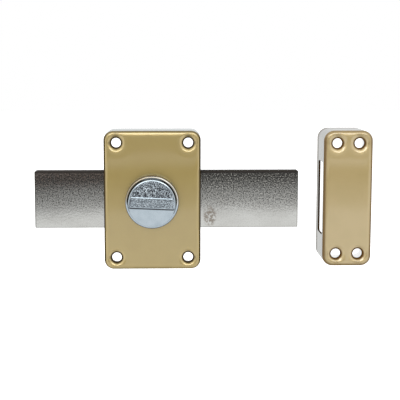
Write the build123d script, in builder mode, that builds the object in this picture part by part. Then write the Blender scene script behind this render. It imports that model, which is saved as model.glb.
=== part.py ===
from build123d import *
from math import pi, radians, tan
import os

# A surface mounted knob bolt with its separate box strike, in millimetres.
# X runs along the bolt, Z is up and the front faces -Y.
# The plane Y = 0 is the face of the door, and "depth" is the distance out from it.

# Case
case_width = 62.0
case_height = 90.0
case_corner = 5.0
case_screw_from_side = 8.0
case_screw_from_end = 7.8

# Pressed sheet of the case and the strike
sheet = 1.3
press_radius = 2.0
screw_hole_radius = 3.1
dimple_radius = 5.1
dimple_angle = 105.0
sunk_head_angle = 90.0

# Strike
strike_width = 31.0
strike_height = 87.0
strike_depth = 22.0
strike_corner = 5.5
strike_from_axis = 108.7
strike_rise = 1.8
strike_screw_from_side = 8.5
strike_screw_from_end = 8.0
strike_slot_height = 47.0
strike_slot_drop = 0.5
strike_slot_back = 5.2
strike_slot_front = 18.0
strike_slot_corner = 1.5

# Bolt
bolt_left = 75.7
bolt_right = 94.2
bolt_height = 37.0
bolt_thickness = 6.0
bolt_back = 6.0
bolt_corner = 0.8
bolt_edge_break = 0.3

# Rack and pinion, with half thicknesses of the teeth in modules
tooth_module = 0.8
pinion_teeth = 10
pinion_tip_cut = 0.1
tooth_root_gap = 0.3
pinion_overhang = 0.15
pinion_tooth_foot = 0.88
pinion_tooth_waist = 0.65
pinion_tooth_tip = 0.32
rack_tooth_foot = 0.97
rack_tooth_tip = 0.25

# Back plate and what joins it to the cover
plate_thickness = 1.5
plate_corner = 2.0
plate_from_screws = 3.1
post_radius = 2.1
post_from_wall = 0.8
post_from_bolt = 1.4
thread_radius = 1.25
back_screw_length = 7.0
back_screw_head_radius = 2.3
driver_slot_width = 0.8
driver_slot_depth = 0.6

# Bolt guides
guide_from_post = 0.3
guide_edge_round = 0.8
guide_height = 9.0
guide_lap = 2.9
guide_rivet_radius = 1.5
guide_rivet_head_radius = 2.5
guide_rivet_length = 7.0
guide_rivet_from_end = 8.4
guide_rivet_from_edge = 2.9

# Shaft, bushes and rings
journal_radius = 4.0
shaft_tail_gap = 0.3
shaft_collar_radius = 5.4
shaft_collar_length = 1.5
shaft_seat_radius = 3.0
shaft_seat_flat = 2.3
tail_socket_width = 2.2
tail_socket_height = 5.4
tail_socket_depth = 4.0
bush_neck_radius = 5.2
bush_flange_radius = 6.2
bush_flange = 1.2
bush_stand = 0.3
ring_thickness = 0.6
ring_radius = 5.6
ring_groove_radius = 3.4
ring_opening = 5.0
ring_from_bolt = 0.35
spring_washer_room = 0.55
spring_washer_sheet = 0.25
thrust_washer_radius = 7.4
thrust_washer_thickness = 0.5

# Knob
knob_radius = 17.0
knob_gap = 0.5
knob_heel = 0.7
knob_skirt = 4.4
knob_shoulder_inset = 1.1
knob_shoulder_rise = 0.9
knob_shoulder_flat = 0.2
knob_groove_width = 0.7
knob_groove_depth = 1.4
knob_crown_rise = 2.5
knob_crown_break = 0.5
knob_bar_width = 6.9
knob_bar_inset = 1.1
knob_bar_rise = 0.8
knob_bar_break = 0.25
knob_turn = 2.5
knob_wall = 2.2
knob_pocket_depth = 3.2
knob_hub_radius = 7.0
knob_seat_length = 5.4
grub_radius = 1.5
grub_length = 4.2
grub_socket_flats = 1.5
grub_socket_depth = 1.4

# Stop block on the bolt and the anti rattle spring
stop_length = 8.4
stop_height = 6.0
stop_corner = 1.0
stop_shank_radius = 2.0
stop_shank_length = 3.0
stop_plate_gap = 0.5
leaf_thickness = 0.4
leaf_width = 5.0
leaf_foot = 5.0
leaf_span = 26.0
leaf_rivet_radius = 1.0
leaf_rivet_head_radius = 1.7
leaf_rivet_head = 0.6

# Clearances
running_gap = 0.05
slide_gap = 0.15
fit_gap = 0.02
window_gap = 0.6
end_gap = 0.5

# Sizes that follow from the ones above
bolt_front = bolt_back + bolt_thickness
ring_back = bolt_front + ring_from_bolt
ring_front = ring_back + ring_thickness
front_flange_back = ring_front + spring_washer_room
cover_inside = front_flange_back + bush_flange
case_depth = cover_inside + sheet
case_inner_side = case_width / 2 - sheet
case_screw_span_x = case_width - 2 * case_screw_from_side
case_screw_span_z = case_height - 2 * case_screw_from_end
strike_screw_span_x = strike_width - 2 * strike_screw_from_side
strike_screw_span_z = strike_height - 2 * strike_screw_from_end
plate_height = case_screw_span_z - 2 * (screw_hole_radius + plate_from_screws)
post_span_x = 2 * (case_inner_side - post_from_wall - post_radius)
post_span_z = bolt_height + 2 * (post_from_bolt + post_radius)
guide_length = post_span_x - 2 * (post_radius + guide_from_post)
guide_inner = bolt_height / 2 - guide_lap
guide_rivet_span_x = guide_length - 2 * guide_rivet_from_end
bolt_travel = case_inner_side - stop_length / 2 - end_gap
pitch_radius = tooth_module * pinion_teeth / 2
tooth_pitch = pi * tooth_module
pinion_tip_radius = pitch_radius + tooth_module - pinion_tip_cut
pinion_root_radius = pitch_radius - tooth_module - pinion_tip_cut * 2
rack_tip_z = pinion_root_radius + tooth_root_gap
rack_root_z = pinion_tip_radius + tooth_root_gap
window_half = bolt_travel + pinion_tip_radius + end_gap
rear_flange_front = plate_thickness + bush_flange
collar_back = rear_flange_front + running_gap
collar_front = collar_back + shaft_collar_length
pinion_back = bolt_back - pinion_overhang
pinion_front = bolt_front + pinion_overhang
bush_front = case_depth + bush_stand
washer_front = bush_front + thrust_washer_thickness
hub_back = washer_front + running_gap
knob_back = case_depth + knob_gap
seat_back = hub_back - running_gap / 2
skirt_front = knob_back + knob_skirt
shoulder_front = skirt_front + knob_shoulder_rise
crown_front = shoulder_front + knob_crown_rise
strike_centre = (strike_from_axis + strike_width / 2, strike_rise)
rack_teeth = 2 * int(window_half / tooth_pitch)
guide_rivet_x = (-guide_rivet_span_x / 2, guide_rivet_span_x / 2)
guide_rivet_span_z = 2 * (guide_inner + guide_height - guide_rivet_from_edge)
strip_middle = (bush_flange_radius + guide_inner) / 2
leaf_rivet_place = (leaf_span / 2 + leaf_foot / 2, -strip_middle)
knob_shoulder_radius = knob_radius - knob_shoulder_inset
knob_groove_radius = knob_shoulder_radius - knob_shoulder_flat
knob_crown_radius = knob_groove_radius - knob_groove_width
knob_bar_length = 2 * (knob_crown_radius - knob_bar_inset)
grub_depth = knob_back + knob_skirt / 2


def facing_out(depth):
    """The plane parallel to the door at a depth, looking out at the user, with X to its right."""
    return Plane.XZ.offset(depth)


def facing_door(depth):
    """The same plane looking at the door, with -X to its right."""
    return Plane(origin=(0, -depth, 0), x_dir=(-1, 0, 0), z_dir=(0, 1, 0))


def turned(*section):
    """A solid turned about the shaft axis, from the radius and depth of each corner of its half section."""
    with BuildPart() as body:
        with BuildSketch(Plane.XY):
            with BuildLine():
                Polyline(*[(radius, -depth) for radius, depth in section], close=True)
            make_face()
        revolve(axis=Axis.Y)
    return body.part


def flush_pins(places, radius, head_radius, length, slotted=False):
    """Screws or rivets put in from the back, their sunk heads flush with the door face."""
    with BuildPart() as pins:
        with Locations(facing_door(0)):
            with Locations(*places):
                Cylinder(radius, length, align=(Align.CENTER, Align.CENTER, Align.MAX))
                Cone(
                    radius,
                    head_radius,
                    (head_radius - radius) / tan(radians(sunk_head_angle / 2)),
                    align=(Align.CENTER, Align.CENTER, Align.MAX),
                )
                if slotted:
                    Box(
                        2 * head_radius,
                        driver_slot_width,
                        driver_slot_depth,
                        align=(Align.CENTER, Align.CENTER, Align.MAX),
                        mode=Mode.SUBTRACT,
                    )
    return pins.part


def corners_of(span_x, span_z):
    """The four corners of a rectangle about the shaft axis."""
    return [(x * span_x / 2, z * span_z / 2) for x in (-1, 1) for z in (-1, 1)]


def flat_sided(radius, flat):
    """A round with one flat below its middle, in the sketch that is open."""
    Circle(radius)
    with Locations((0, -flat - radius)):
        Rectangle(2 * radius, 2 * radius, mode=Mode.SUBTRACT)


def pressed_shell(centre, width, height, depth, corner, screw_span_x, screw_span_z):
    """An open backed box pressed from sheet, with a sunk seat for a screw head near each corner."""
    place = Plane(origin=(centre[0], 0, centre[1]), x_dir=(1, 0, 0), z_dir=(0, -1, 0))
    seat_depth = (dimple_radius - screw_hole_radius) / tan(radians(dimple_angle / 2))
    with BuildPart() as shell:
        with BuildSketch(place):
            RectangleRounded(width, height, corner)
        extrude(amount=depth)
        fillet(shell.faces().sort_by(Axis.Y)[0].edges(), press_radius)
        offset(amount=-sheet, openings=shell.faces().sort_by(Axis.Y)[-1])
        with Locations(place.offset(depth - sheet - seat_depth)):
            with GridLocations(screw_span_x, screw_span_z, 2, 2):
                Cone(
                    screw_hole_radius + sheet / 2,
                    dimple_radius + sheet / 2,
                    seat_depth,
                    align=(Align.CENTER, Align.CENTER, Align.MIN),
                )
        with Locations(place.offset(depth)):
            with GridLocations(screw_span_x, screw_span_z, 2, 2):
                CounterSinkHole(screw_hole_radius, dimple_radius, counter_sink_angle=dimple_angle)
    return shell.part


def finish(piece, name):
    """Names a piece and writes it out."""
    piece.part.label = name
    export_step(piece.part, f"parts/{name}.step")


os.makedirs("parts", exist_ok=True)

# Case cover: the shell, the bolt's window in both ends and the hole for the front bush
with BuildPart() as case_cover:
    add(
        pressed_shell(
            (0, 0), case_width, case_height, case_depth, case_corner, case_screw_span_x, case_screw_span_z
        )
    )
    with BuildSketch(Plane.YZ):
        with Locations((-(bolt_back + bolt_front) / 2, 0)):
            Rectangle(bolt_thickness + 2 * window_gap, bolt_height + 2 * window_gap)
    extrude(amount=case_width, both=True, mode=Mode.SUBTRACT)
    with BuildSketch(facing_out(case_depth)):
        Circle(bush_neck_radius + fit_gap)
    extrude(amount=-sheet, mode=Mode.SUBTRACT)
finish(case_cover, "case_cover")

# Back plate: closes the case behind the works and leaves the screw corners open
plate_holes = (
    (corners_of(post_span_x, post_span_z), thread_radius, back_screw_head_radius),
    (corners_of(guide_rivet_span_x, guide_rivet_span_z), guide_rivet_radius, guide_rivet_head_radius),
    ([leaf_rivet_place], leaf_rivet_radius, leaf_rivet_head_radius),
)
with BuildPart() as back_plate:
    with BuildSketch(facing_out(0)):
        RectangleRounded(2 * (case_inner_side - slide_gap), plate_height, plate_corner)
        Circle(bush_neck_radius + fit_gap, mode=Mode.SUBTRACT)
    extrude(amount=plate_thickness)
    for places, radius, head_radius in plate_holes:
        with Locations(facing_door(0)):
            with Locations(*places):
                CounterSinkHole(
                    radius + fit_gap, head_radius + fit_gap, counter_sink_angle=sunk_head_angle
                )
finish(back_plate, "back_plate")

# Cover posts: four tapped spacers welded to the inside of the cover
with BuildPart() as cover_posts:
    with BuildSketch(facing_out(plate_thickness)):
        with Locations(*corners_of(post_span_x, post_span_z)):
            Circle(post_radius)
            Circle(thread_radius + fit_gap, mode=Mode.SUBTRACT)
    extrude(amount=cover_inside - plate_thickness)
finish(cover_posts, "cover_posts")

# Back screws: hold the back plate to the posts
with BuildPart() as back_screws:
    add(
        flush_pins(
            corners_of(post_span_x, post_span_z),
            thread_radius,
            back_screw_head_radius,
            back_screw_length,
            slotted=True,
        )
    )
finish(back_screws, "back_screws")


def bolt_guide(side):
    """A grooved block over one edge of the bolt: side is 1 above it and -1 below it."""
    groove_end = bolt_height / 2 + slide_gap
    with BuildPart() as guide:
        with BuildSketch(Plane.YZ):
            with Locations((-(plate_thickness + cover_inside) / 2, side * (guide_inner + guide_height / 2))):
                Rectangle(cover_inside - plate_thickness, guide_height)
            with Locations((-(bolt_back + bolt_front) / 2, side * groove_end / 2)):
                Rectangle(bolt_thickness + 2 * slide_gap, groove_end, mode=Mode.SUBTRACT)
        extrude(amount=guide_length / 2, both=True)
        outer_edges = guide.edges().filter_by(Axis.X).sort_by(SortBy.DISTANCE)[-2:]
        fillet(outer_edges, guide_edge_round)
        with Locations(facing_door(plate_thickness)):
            with Locations(*[(x, side * guide_rivet_span_z / 2) for x in guide_rivet_x]):
                Hole(guide_rivet_radius + fit_gap, depth=guide_rivet_length - plate_thickness)
    return guide


# Bolt guides: the blocks that the bolt slides between
upper_guide = bolt_guide(1)
finish(upper_guide, "upper_guide")
lower_guide = bolt_guide(-1)
finish(lower_guide, "lower_guide")

# Guide rivets: fix both guides to the back plate
with BuildPart() as guide_rivets:
    add(
        flush_pins(
            corners_of(guide_rivet_span_x, guide_rivet_span_z),
            guide_rivet_radius,
            guide_rivet_head_radius,
            guide_rivet_length,
        )
    )
finish(guide_rivets, "guide_rivets")

# Bolt: a flat bar right through the case, with a window for the pinion and a rack along its top
with BuildPart() as bolt:
    with BuildSketch(facing_out(bolt_back)):
        with Locations(((bolt_right - bolt_left) / 2, 0)):
            RectangleRounded(bolt_left + bolt_right, bolt_height, bolt_corner)
    extrude(amount=bolt_thickness)
    chamfer(bolt.faces().filter_by(Axis.Y).edges(), bolt_edge_break)
    window_foot = -pinion_tip_radius - end_gap
    with BuildSketch(facing_out(bolt_back)):
        with Locations((0, (rack_root_z + window_foot) / 2)):
            Rectangle(2 * window_half, rack_root_z - window_foot)
        with GridLocations(tooth_pitch, tooth_pitch, rack_teeth, 1):
            Polygon(
                (-rack_tooth_foot * tooth_module, rack_root_z),
                (-rack_tooth_tip * tooth_module, rack_tip_z),
                (rack_tooth_tip * tooth_module, rack_tip_z),
                (rack_tooth_foot * tooth_module, rack_root_z),
                align=None,
                mode=Mode.SUBTRACT,
            )
    extrude(amount=bolt_thickness, mode=Mode.SUBTRACT)
    with Locations(facing_door(bolt_back)):
        with Locations((0, strip_middle)):
            Hole(stop_shank_radius + fit_gap, depth=stop_shank_length)
finish(bolt, "bolt")

# Stop block: pressed into the back of the bolt, it meets the end walls at the ends of the travel
with BuildPart() as stop_block:
    with BuildSketch(facing_out(plate_thickness + stop_plate_gap)):
        with Locations((0, strip_middle)):
            RectangleRounded(stop_length, stop_height, stop_corner)
    extrude(amount=bolt_back - plate_thickness - stop_plate_gap)
    with BuildSketch(facing_out(bolt_back)):
        with Locations((0, strip_middle)):
            Circle(stop_shank_radius)
    extrude(amount=stop_shank_length)
finish(stop_block, "stop_block")

# Pinion shaft: rear journal with a socket for a cylinder's tail, collar, pinion, front journal and knob seat
with BuildPart() as pinion_shaft:
    add(
        turned(
            (0, shaft_tail_gap),
            (journal_radius, shaft_tail_gap),
            (journal_radius, collar_back),
            (shaft_collar_radius, collar_back),
            (shaft_collar_radius, collar_front),
            (journal_radius, collar_front),
            (journal_radius, pinion_back),
            (pinion_root_radius, pinion_back),
            (pinion_root_radius, pinion_front),
            (journal_radius, pinion_front),
            (journal_radius, ring_back - fit_gap),
            (ring_groove_radius, ring_back - fit_gap),
            (ring_groove_radius, ring_front + fit_gap),
            (journal_radius, ring_front + fit_gap),
            (journal_radius, seat_back),
            (0, seat_back),
        )
    )
    with BuildSketch(facing_out(seat_back)):
        flat_sided(shaft_seat_radius, shaft_seat_flat)
    extrude(amount=knob_seat_length)
    with BuildSketch(facing_out(pinion_back)):
        with PolarLocations(0, pinion_teeth, start_angle=90):
            Polygon(
                (pinion_root_radius - pinion_tip_cut, -pinion_tooth_foot * tooth_module),
                (pitch_radius, -pinion_tooth_waist * tooth_module),
                (pinion_tip_radius, -pinion_tooth_tip * tooth_module),
                (pinion_tip_radius, pinion_tooth_tip * tooth_module),
                (pitch_radius, pinion_tooth_waist * tooth_module),
                (pinion_root_radius - pinion_tip_cut, pinion_tooth_foot * tooth_module),
                align=None,
            )
    extrude(amount=pinion_front - pinion_back)
    with BuildSketch(facing_out(shaft_tail_gap)):
        Rectangle(tail_socket_width, tail_socket_height)
    extrude(amount=tail_socket_depth, mode=Mode.SUBTRACT)
finish(pinion_shaft, "pinion_shaft")


def flanged_bush(neck_end, seat, flange_end):
    """A bush whose neck fills a hole up to its seat and whose flange bears on the inside."""
    bore = journal_radius + running_gap
    return turned(
        (bore, neck_end),
        (bush_neck_radius, neck_end),
        (bush_neck_radius, seat),
        (bush_flange_radius, seat),
        (bush_flange_radius, flange_end),
        (bore, flange_end),
    )


# Bushes: carry the shaft in the cover and in the back plate
with BuildPart() as front_bush:
    add(flanged_bush(bush_front, cover_inside, front_flange_back))
finish(front_bush, "front_bush")
with BuildPart() as rear_bush:
    add(flanged_bush(0, plate_thickness, rear_flange_front))
finish(rear_bush, "rear_bush")

# Retaining ring: an open ring in the shaft's groove
with BuildPart() as retaining_ring:
    with BuildSketch(facing_out(ring_back)):
        Circle(ring_radius)
        Circle(ring_groove_radius + fit_gap, mode=Mode.SUBTRACT)
        with Locations((0, -ring_radius)):
            Rectangle(ring_opening, 2 * ring_radius, mode=Mode.SUBTRACT)
    extrude(amount=ring_thickness)
finish(retaining_ring, "retaining_ring")

# Spring washer: a dished washer between the ring and the front bush, which steadies the knob
washer_bore = journal_radius + slide_gap
washer_rim = ring_radius + slide_gap
washer_back = ring_front + running_gap
washer_reach = front_flange_back - running_gap
with BuildPart() as spring_washer:
    add(
        turned(
            (washer_bore, washer_back),
            (washer_rim, washer_reach - spring_washer_sheet),
            (washer_rim, washer_reach),
            (washer_bore, washer_back + spring_washer_sheet),
        )
    )
finish(spring_washer, "spring_washer")

# Thrust washer: lies on the front bush behind the knob's hub
with BuildPart() as thrust_washer:
    add(
        turned(
            (journal_radius + slide_gap, bush_front),
            (thrust_washer_radius, bush_front),
            (thrust_washer_radius, washer_front),
            (journal_radius + slide_gap, washer_front),
        )
    )
finish(thrust_washer, "thrust_washer")

# Knob: a hollow casting with a skirt, a sunk ring, a raised crown and a grip bar across it
with BuildPart() as knob:
    add(
        turned(
            (0, hub_back),
            (knob_hub_radius, hub_back),
            (knob_hub_radius, knob_back + knob_pocket_depth),
            (knob_radius - knob_wall, knob_back + knob_pocket_depth),
            (knob_radius - knob_wall, knob_back),
            (knob_radius - knob_heel, knob_back),
            (knob_radius, knob_back + knob_heel),
            (knob_radius, skirt_front),
            (knob_shoulder_radius, shoulder_front),
            (knob_groove_radius, shoulder_front),
            (knob_groove_radius, shoulder_front - knob_groove_depth),
            (knob_crown_radius, shoulder_front - knob_groove_depth),
            (knob_crown_radius, crown_front - knob_crown_break),
            (knob_crown_radius - knob_crown_break, crown_front),
            (0, crown_front),
        )
    )
    with BuildSketch(facing_out(crown_front)):
        Rectangle(knob_bar_length, knob_bar_width, rotation=-knob_turn)
    extrude(amount=knob_bar_rise)
    chamfer(knob.faces().sort_by(Axis.Y)[0].edges(), knob_bar_break)
    with BuildSketch(facing_out(hub_back)):
        flat_sided(shaft_seat_radius + fit_gap, shaft_seat_flat + fit_gap)
    extrude(amount=knob_seat_length + slide_gap, mode=Mode.SUBTRACT)
    with BuildSketch(Plane(origin=(0, -grub_depth, 0), x_dir=(1, 0, 0), z_dir=(0, 0, -1))):
        Circle(grub_radius + fit_gap)
    extrude(amount=knob_radius, mode=Mode.SUBTRACT)
finish(knob, "knob")

# Grub screw: through the skirt and the hub, down on the flat of the shaft
with BuildPart() as knob_grub_screw:
    with BuildSketch(
        Plane(origin=(0, -grub_depth, -shaft_seat_flat - fit_gap), x_dir=(1, 0, 0), z_dir=(0, 0, -1))
    ):
        Circle(grub_radius)
    extrude(amount=grub_length)
    with BuildSketch(knob_grub_screw.faces().sort_by(Axis.Z)[0]):
        RegularPolygon(grub_socket_flats / 2, 6, major_radius=False)
    extrude(amount=-grub_socket_depth, mode=Mode.SUBTRACT)
finish(knob_grub_screw, "knob_grub_screw")

# Leaf spring: bears on the back of the bolt so that it doesn't rattle
leaf_crest = bolt_back - running_gap
leaf_end = leaf_span / 2 + leaf_foot
leaf_foot_front = plate_thickness + leaf_thickness
with BuildPart() as leaf_spring:
    with BuildSketch(Plane.XY.offset(-strip_middle - leaf_width / 2)):
        with BuildLine():
            ThreePointArc(
                (-leaf_span / 2, -plate_thickness),
                (0, leaf_thickness - leaf_crest),
                (leaf_span / 2, -plate_thickness),
            )
            Polyline(
                (leaf_span / 2, -plate_thickness),
                (leaf_end, -plate_thickness),
                (leaf_end, -leaf_foot_front),
                (leaf_span / 2, -leaf_foot_front),
            )
            ThreePointArc(
                (leaf_span / 2, -leaf_foot_front), (0, -leaf_crest), (-leaf_span / 2, -leaf_foot_front)
            )
            Polyline(
                (-leaf_span / 2, -leaf_foot_front),
                (-leaf_end, -leaf_foot_front),
                (-leaf_end, -plate_thickness),
                (-leaf_span / 2, -plate_thickness),
            )
        make_face()
    extrude(amount=leaf_width)
    with Locations(facing_door(plate_thickness)):
        with Locations(leaf_rivet_place):
            Hole(leaf_rivet_radius + fit_gap, depth=leaf_thickness)
finish(leaf_spring, "leaf_spring")

# Leaf rivet: holds one foot of the leaf spring to the back plate
with BuildPart() as leaf_rivet:
    add(
        flush_pins(
            [leaf_rivet_place], leaf_rivet_radius, leaf_rivet_head_radius, leaf_foot_front + leaf_rivet_head
        )
    )
    with Locations(facing_out(leaf_foot_front)):
        with Locations((-leaf_rivet_place[0], leaf_rivet_place[1])):
            Cylinder(
                leaf_rivet_head_radius, leaf_rivet_head, align=(Align.CENTER, Align.CENTER, Align.MIN)
            )
finish(leaf_rivet, "leaf_rivet")

# Strike: the same kind of shell, open at the back, with a slot for the bolt in the wall that faces it
with BuildPart() as strike_shell:
    add(
        pressed_shell(
            strike_centre,
            strike_width,
            strike_height,
            strike_depth,
            strike_corner,
            strike_screw_span_x,
            strike_screw_span_z,
        )
    )
    with BuildSketch(Plane.YZ.offset(strike_from_axis)):
        with Locations((-(strike_slot_back + strike_slot_front) / 2, strike_rise - strike_slot_drop)):
            RectangleRounded(strike_slot_front - strike_slot_back, strike_slot_height, strike_slot_corner)
    extrude(amount=2 * sheet, mode=Mode.SUBTRACT)
finish(strike_shell, "strike_shell")
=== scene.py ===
import math
from types import SimpleNamespace

import bmesh
import bpy
import numpy as np
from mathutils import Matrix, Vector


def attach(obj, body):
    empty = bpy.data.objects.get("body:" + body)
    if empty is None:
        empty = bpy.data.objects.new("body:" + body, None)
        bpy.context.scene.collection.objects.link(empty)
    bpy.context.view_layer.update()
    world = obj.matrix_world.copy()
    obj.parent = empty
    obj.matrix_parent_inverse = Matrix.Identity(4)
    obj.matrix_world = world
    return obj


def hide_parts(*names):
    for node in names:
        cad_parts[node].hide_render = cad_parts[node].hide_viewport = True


# A knob bolt with its box strike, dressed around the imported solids.
# Sizes in the dictionaries are millimetres from the knob's axis on the door plane; depth runs along -Y.

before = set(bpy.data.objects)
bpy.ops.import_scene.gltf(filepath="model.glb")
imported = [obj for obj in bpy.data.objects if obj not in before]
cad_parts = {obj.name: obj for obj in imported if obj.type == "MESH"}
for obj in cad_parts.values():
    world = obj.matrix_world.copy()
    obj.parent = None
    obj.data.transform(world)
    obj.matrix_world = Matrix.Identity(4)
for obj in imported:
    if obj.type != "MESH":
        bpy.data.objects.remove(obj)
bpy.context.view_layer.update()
mm = 0.001
tiny = 0.001  # a length or a share that is too small to see


# Shader sums

# A socket that takes part in plain sums: each sum adds one Math node.
class Wire:
    def __init__(self, graph, socket):
        self.graph = graph
        self.socket = socket

    def sum(self, operation, *values):
        return self.graph.node("ShaderNodeMath", {"operation": operation}, dict(enumerate(values)))

    def __add__(self, other):
        return self.sum("ADD", self, other)

    def __sub__(self, other):
        return self.sum("SUBTRACT", self, other)

    def __rsub__(self, other):
        return self.sum("SUBTRACT", other, self)

    def __mul__(self, other):
        return self.sum("MULTIPLY", self, other)

    def __truediv__(self, other):
        return self.sum("DIVIDE", self, other)

    def __rtruediv__(self, other):
        return self.sum("DIVIDE", other, self)

    __radd__ = __add__
    __rmul__ = __mul__

    def root(self):
        return self.sum("SQRT", self)

    def atLeast(self, other):
        return self.sum("MAXIMUM", self, other)

    # 0 below low, 1 above high, with a soft step between; high may be the smaller one
    def step(self, low, high):
        sockets = {"Value": self, "From Min": low, "From Max": high}
        return self.graph.node("ShaderNodeMapRange", {"interpolation_type": "SMOOTHSTEP"}, sockets)


# The nodes of one material or world.
class Graph:
    def __init__(self, tree):
        self.tree = tree
        tree.nodes.clear()

    # a node of any type: settings first, then the values or links of its sockets
    def node(self, kind, settings=None, sockets=None, out=0):
        made = self.tree.nodes.new(kind)
        for name, value in (settings or {}).items():
            if name == "stops":
                self.setStops(made.color_ramp, value)
            else:
                setattr(made, name, value)
        for name, value in (sockets or {}).items():
            if isinstance(value, Wire):
                self.tree.links.new(value.socket, made.inputs[name])
            else:
                made.inputs[name].default_value = value
        return Wire(self, made.outputs[out]) if made.outputs else made

    # a ramp's stops in grey, each a position and a brightness
    def setStops(self, greys, stops):
        while len(greys.elements) < len(stops):
            greys.elements.new(1.0)
        for element, (position, bright) in zip(greys.elements, stops):
            element.position = position
            element.color = (bright, bright, bright, 1)

    # several outputs of one node
    def outputs(self, kind, names, sockets=None):
        made = self.node(kind, sockets=sockets).socket.node
        return [Wire(self, made.outputs[name]) for name in names]

    def place(self):
        return self.node("ShaderNodeTexCoord", out="Object")

    def axes(self, vector):
        return self.outputs("ShaderNodeSeparateXYZ", ("X", "Y", "Z"), {"Vector": vector})

    # 0 or 1 for each of the rays that are to see a plain backdrop
    def rayKinds(self):
        return self.outputs("ShaderNodeLightPath", ("Is Camera Ray", "Is Glossy Ray", "Is Transmission Ray"))

    # noise from 0 to 1 with blobs of about one size in millimetres, drawn out by stretch along the axes
    def noise(self, size, detail, stretch=(1, 1, 1)):
        scale = [1 / (size * mm * part) for part in stretch]
        mapped = self.node("ShaderNodeMapping", sockets={"Vector": self.place(), "Scale": scale})
        return self.node("ShaderNodeTexNoise", sockets={"Vector": mapped, "Scale": 1.0, "Detail": detail})

    # a colour Mix node has its factor and its two colours at sockets 0, 6 and 7, and its result at 2
    def mix(self, first, second, factor):
        return self.node("ShaderNodeMix", {"data_type": "RGBA"}, {0: factor, 6: first, 7: second}, out=2)

    def bump(self, height, depth, over=None):
        sockets = {"Height": height, "Distance": depth * mm}
        if over:
            sockets["Normal"] = over
        return self.node("ShaderNodeBump", sockets=sockets)

    def attribute(self, name):
        return self.node("ShaderNodeAttribute", {"attribute_name": name}, out="Fac")

    # the surface, with any other sockets that it needs; a cover is a dull colour over it where its share is 1
    def finish(self, colour, roughness, normal, metallic=1.0, others=None, cover=None):
        sockets = {"Base Color": colour, "Metallic": metallic, "Roughness": roughness, "Normal": normal}
        surface = self.node("ShaderNodeBsdfPrincipled", sockets={**sockets, **(others or {})})
        if cover:
            over, share = cover
            dull = self.node("ShaderNodeBsdfDiffuse", sockets={"Color": over, "Normal": normal})
            surface = self.node("ShaderNodeMixShader", sockets={0: share, 1: surface, 2: dull})
        self.node("ShaderNodeOutputMaterial", sockets={"Surface": surface})


def newMaterial(name):
    material = bpy.data.materials.new(name)
    material.use_nodes = True
    return material, Graph(material.node_tree)


def rgb(red, green, blue):
    return (red, green, blue, 1.0)


def newObject(name, data):
    made = bpy.data.objects.new(name, data)
    bpy.context.scene.collection.objects.link(made)
    return made


# Camera

photoCamera = {
    "place": (15.58, -435.9, 86.97),
    "yaw": 0.99,  # degrees to the right
    "pitch": 4.79,  # degrees down
    "focalPixels": 665.2,
    "imagePixels": 400,
    "shift": (0.03, -0.20),
    "sensor": 36.0,
    "clip": (0.01, 30.0),  # in metres
}


def setCamera(look):
    data = bpy.data.cameras.new("photoCamera")
    data.sensor_width = look["sensor"]
    data.lens = look["sensor"] * look["focalPixels"] / look["imagePixels"]
    data.shift_x, data.shift_y = look["shift"]
    data.clip_start, data.clip_end = look["clip"]
    camera = newObject("photoCamera", data)
    camera.location = [part * mm for part in look["place"]]
    camera.rotation_euler = (math.radians(90 - look["pitch"]), 0, math.radians(-look["yaw"]))
    bpy.context.scene.camera = camera


# Studio

studio = {
    # brightness that metal facing the viewer mirrors, by degrees above the horizon:
    # pale table, the table's dark far edge, dim room, soft box, ceiling
    "front": [
        (-90, 0.55), (-50, 0.7), (-28, 0.92), (-13.1, 0.94), (-12.6, 0.92), (-12.25, 0.56), (-11.6, 0.44),
        (-10.8, 0.31), (-10.2, 0.2), (-9.5, 0.06), (-8.8, 0.05), (-8.3, 0.64), (-7.7, 0.64), (-7.1, 0.1),
        (-5.3, 0.4), (9, 0.4), (17, 1.0), (21, 3.5), (33, 3.5), (37, 1.0), (50, 0.8), (60, 0.3), (90, 0.15),
    ],
    # light from the other sides, by the same degrees; what metal mirrors there is plain white
    "around": [(-90, 0.98), (0, 0.98), (16, 0.97), (28, 0.9), (60, 0.95), (90, 0.9)],
    "frontSpread": (0.6, 0.92),  # where the front begins and is full: 1 is straight ahead, 0 sideways
    "frontTilt": 0.026,  # how much higher the front's bands lie towards +X
    "floorDrop": 160.0,
    "floorHalf": 3000.0,
    "floorPoints": 9,
    "floorColour": rgb(0.9, 0.9, 0.9),
    "floorLift": 0.5,  # how much the floor glows for rays that are to see it white
    # name, place, what it points at, size and power in watts
    "lamps": [
        ("topBox", (-150, -350, 700), (0, 0, 0), 600, 4.0),
        ("leftBox", (-650, -250, 220), (20, 0, 0), 420, 1.6),
        ("rightBox", (750, -200, 220), (40, 0, 0), 420, 1.2),
    ],
}
white = rgb(1, 1, 1)


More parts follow.
